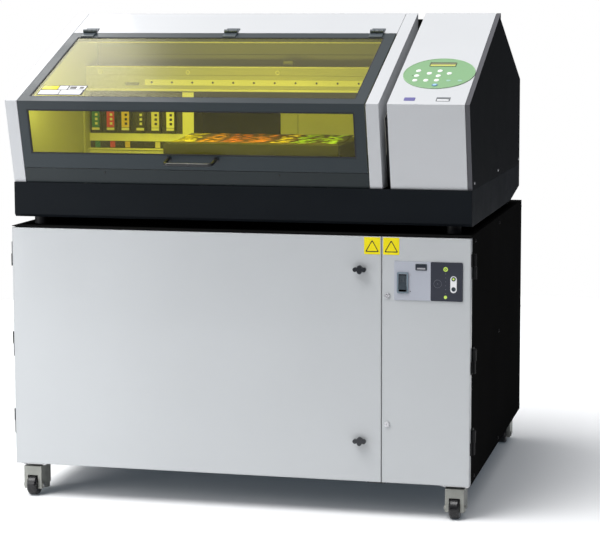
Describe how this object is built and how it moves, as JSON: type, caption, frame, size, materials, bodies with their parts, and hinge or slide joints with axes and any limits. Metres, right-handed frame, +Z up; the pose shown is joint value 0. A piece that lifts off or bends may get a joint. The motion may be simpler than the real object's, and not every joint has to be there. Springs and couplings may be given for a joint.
{
  "type": "flatbed uv printer",
  "caption": "Flatbed UV printer with a slanted amber-windowed hinged cover and a control tower, standing on a white-doored rolling filter cabinet.",
  "frame": {"origin": "floor plane under the centre of the machine", "axes": "+Z up, -Y towards the doors and the front cover, +X to the right seen from the front"},
  "size_m": [1.228, 1.0253, 1.266],
  "materials": {
    "frame_paint": "semi-matt black powder coat",
    "cabinet_black": "textured black powder coat",
    "door_white": "smooth light grey-white paint",
    "hinge_black": "satin black",
    "knob_black": "matt black moulding",
    "lock_steel": "zinc-plated",
    "switch_grey": "light grey overlay",
    "rocker_black": "glossy black",
    "panel_dark": "dark slate membrane",
    "filter_steel": "grey zinc sheet",
    "filter_media": "pleated media in a frame",
    "impeller_plastic": "moulded black",
    "caster_plate_steel": "zinc-plated",
    "caster_grey": "light grey die-cast",
    "caster_tyre": "black nylon tread",
    "base_black": "fine-textured black",
    "foot_rubber": "black rubber",
    "cover_white": "white painted moulding",
    "cover_black": "fine-textured black",
    "wall_black": "matt black",
    "cover_slate": "slate blue-grey paint",
    "apron_slate": "dark slate paint",
    "window_amber": "amber UV-filter acrylic",
    "handle_black": "satin black",
    "deck_steel": "black sheet",
    "beam_aluminium": "dark anodised",
    "carriage_black": "matt black moulding",
    "saddle_steel": "machined",
    "table_aluminium": "anodised plate",
    "bay_black": "matt black moulding",
    "ink_body": "glossy moulded box with a colour label",
    "key_green": "soft green overlay",
    "key_white": "domed white keys",
    "power_blue": "pale blue lit key"
  },
  "bodies": {
    "machine": {"stand_frame": "frame_paint", "stand_top_plate": "cabinet_black", "stand_floor_pan": "cabinet_black", "stand_side_panels": "cabinet_black", "stand_back_panel": "cabinet_black", "stand_partition": "cabinet_black", "stand_hinge_leaves": "hinge_black", "filter_housing": "filter_steel", "filter_cartridge": "filter_media", "caster_mount_plates": "caster_plate_steel", "base_tray": "base_black", "base_feet": "foot_rubber", "left_side_cover": "cover_white", "hood_cover": "cover_white", "divider_strip": "cover_white", "chamber_right_wall": "wall_black", "tower_front_cover": "cover_white", "tower_side_cover": "cover_black", "rear_cover": "cover_black", "front_apron": "apron_slate", "hood_hinge_leaves": "hinge_black", "chassis_deck": "deck_steel", "gantry_beam": "beam_aluminium", "ink_bay": "bay_black", "key_panel": "key_green", "panel_keys": "key_white"},
    "front_cover": {"front_cover_frame": "cover_slate", "cover_windows": "window_amber", "cover_handle": "handle_black", "cover_hinge_leaves": "hinge_black"},
    "left_door": {"left_door": "door_white", "left_door_hinge_leaves": "hinge_black"},
    "right_door": {"right_door": "door_white", "right_door_hinge_leaves": "hinge_black", "switch_plate": "switch_grey", "filter_control_panel": "panel_dark"},
    "upper_knob": {"upper_door_knob": "knob_black"},
    "lower_knob": {"lower_door_knob": "knob_black"},
    "upper_lock": {"upper_door_lock": "lock_steel"},
    "lower_lock": {"lower_door_lock": "lock_steel"},
    "rocker": {"power_rocker": "rocker_black"},
    "impeller": {"blower_impeller": "impeller_plastic"},
    "carriage": {"print_carriage": "carriage_black"},
    "saddle": {"table_saddle": "saddle_steel"},
    "table": {"work_table": "table_aluminium"},
    "power_button": {"panel_power_button": "power_blue"},
    "cartridge_1": {"ink_cartridge_1": "ink_body"},
    "cartridge_2": {"ink_cartridge_2": "ink_body"},
    "cartridge_3": {"ink_cartridge_3": "ink_body"},
    "cartridge_4": {"ink_cartridge_4": "ink_body"},
    "cartridge_5": {"ink_cartridge_5": "ink_body"},
    "cartridge_6": {"ink_cartridge_6": "ink_body"},
    "swivel_front_left": {"caster_housing_front_left": "caster_grey"},
    "wheel_front_left": {"caster_wheel_front_left": "caster_tyre"},
    "swivel_front_right": {"caster_housing_front_right": "caster_grey"},
    "wheel_front_right": {"caster_wheel_front_right": "caster_tyre"},
    "swivel_rear_left": {"caster_housing_rear_left": "caster_grey"},
    "wheel_rear_left": {"caster_wheel_rear_left": "caster_tyre"},
    "swivel_rear_right": {"caster_housing_rear_right": "caster_grey"},
    "wheel_rear_right": {"caster_wheel_rear_right": "caster_tyre"}
  },
  "joints": [
    {"name": "front_cover_hinge", "type": "hinge", "parent": "machine", "child": "front_cover", "pos_m": [0, -0.09738, 1.21762], "axis": [-1, 0, 0], "range_deg": [0, 60]},
    {"name": "left_door_swing", "type": "hinge", "parent": "machine", "child": "left_door", "pos_m": [-0.608, -0.452, 0.4], "axis": [0, 0, -1], "range_deg": [0, 120]},
    {"name": "right_door_swing", "type": "hinge", "parent": "machine", "child": "right_door", "pos_m": [0.608, -0.452, 0.4], "axis": [0, 0, 1], "range_deg": [0, 120]},
    {"name": "upper_knob_turn", "type": "hinge", "parent": "left_door", "child": "upper_knob", "pos_m": [0.3236, -0.473, 0.629], "axis": [0, -1, 0], "range_deg": [0, 90]},
    {"name": "lower_knob_turn", "type": "hinge", "parent": "left_door", "child": "lower_knob", "pos_m": [0.3236, -0.473, 0.1935], "axis": [0, -1, 0], "range_deg": [0, 90]},
    {"name": "upper_lock_turn", "type": "hinge", "parent": "right_door", "child": "upper_lock", "pos_m": [0.392, -0.473, 0.5646], "axis": [0, -1, 0], "range_deg": [0, 90]},
    {"name": "lower_lock_turn", "type": "hinge", "parent": "right_door", "child": "lower_lock", "pos_m": [0.392, -0.473, 0.2385], "axis": [0, -1, 0], "range_deg": [0, 90]},
    {"name": "power_rocker_tilt", "type": "hinge", "parent": "right_door", "child": "rocker", "pos_m": [0.4315, -0.467, 0.598], "axis": [1, 0, 0], "range_deg": [0, 16]},
    {"name": "impeller_spin", "type": "hinge", "parent": "machine", "child": "impeller", "pos_m": [0.19, 0.338, 0.378], "axis": [0, 1, 0], "continuous": true},
    {"name": "carriage_travel", "type": "slide", "parent": "machine", "child": "carriage", "axis": [1, 0, 0], "range_m": [-0.64, 0]},
    {"name": "table_travel", "type": "slide", "parent": "machine", "child": "saddle", "axis": [0, 1, 0], "range_m": [-0.05, 0.32]},
    {"name": "table_lift", "type": "slide", "parent": "saddle", "child": "table", "axis": [0, 0, 1], "range_m": [-0.06, 0]},
    {"name": "power_button_press", "type": "slide", "parent": "machine", "child": "power_button", "axis": [0, 0.3847, -0.9231], "range_m": [0, 0.001], "stiffness_N_per_m": 200},
    {"name": "cartridge_1_slide", "type": "slide", "parent": "machine", "child": "cartridge_1", "axis": [0, -1, 0], "range_m": [0, 0.12]},
    {"name": "cartridge_2_slide", "type": "slide", "parent": "machine", "child": "cartridge_2", "axis": [0, -1, 0], "range_m": [0, 0.12]},
    {"name": "cartridge_3_slide", "type": "slide", "parent": "machine", "child": "cartridge_3", "axis": [0, -1, 0], "range_m": [0, 0.12]},
    {"name": "cartridge_4_slide", "type": "slide", "parent": "machine", "child": "cartridge_4", "axis": [0, -1, 0], "range_m": [0, 0.12]},
    {"name": "cartridge_5_slide", "type": "slide", "parent": "machine", "child": "cartridge_5", "axis": [0, -1, 0], "range_m": [0, 0.12]},
    {"name": "cartridge_6_slide", "type": "slide", "parent": "machine", "child": "cartridge_6", "axis": [0, -1, 0], "range_m": [0, 0.12]},
    {"name": "swivel_front_left", "type": "hinge", "parent": "machine", "child": "swivel_front_left", "pos_m": [-0.5625, -0.421, 0.08], "axis": [0, 0, 1], "continuous": true},
    {"name": "wheel_front_left_roll", "type": "hinge", "parent": "swivel_front_left", "child": "wheel_front_left", "pos_m": [-0.5625, -0.4495, 0.027], "axis": [1, 0, 0], "continuous": true},
    {"name": "swivel_front_right", "type": "hinge", "parent": "machine", "child": "swivel_front_right", "pos_m": [0.5625, -0.421, 0.08], "axis": [0, 0, 1], "continuous": true},
    {"name": "wheel_front_right_roll", "type": "hinge", "parent": "swivel_front_right", "child": "wheel_front_right", "pos_m": [0.5625, -0.4495, 0.027], "axis": [1, 0, 0], "continuous": true},
    {"name": "swivel_rear_left", "type": "hinge", "parent": "machine", "child": "swivel_rear_left", "pos_m": [-0.5625, 0.452, 0.08], "axis": [0, 0, 1], "continuous": true},
    {"name": "wheel_rear_left_roll", "type": "hinge", "parent": "swivel_rear_left", "child": "wheel_rear_left", "pos_m": [-0.5625, 0.4235, 0.027], "axis": [1, 0, 0], "continuous": true},
    {"name": "swivel_rear_right", "type": "hinge", "parent": "machine", "child": "swivel_rear_right", "pos_m": [0.5625, 0.452, 0.08], "axis": [0, 0, 1], "continuous": true},
    {"name": "wheel_rear_right_roll", "type": "hinge", "parent": "swivel_rear_right", "child": "wheel_rear_right", "pos_m": [0.5625, 0.4235, 0.027], "axis": [1, 0, 0], "continuous": true}
  ]
}
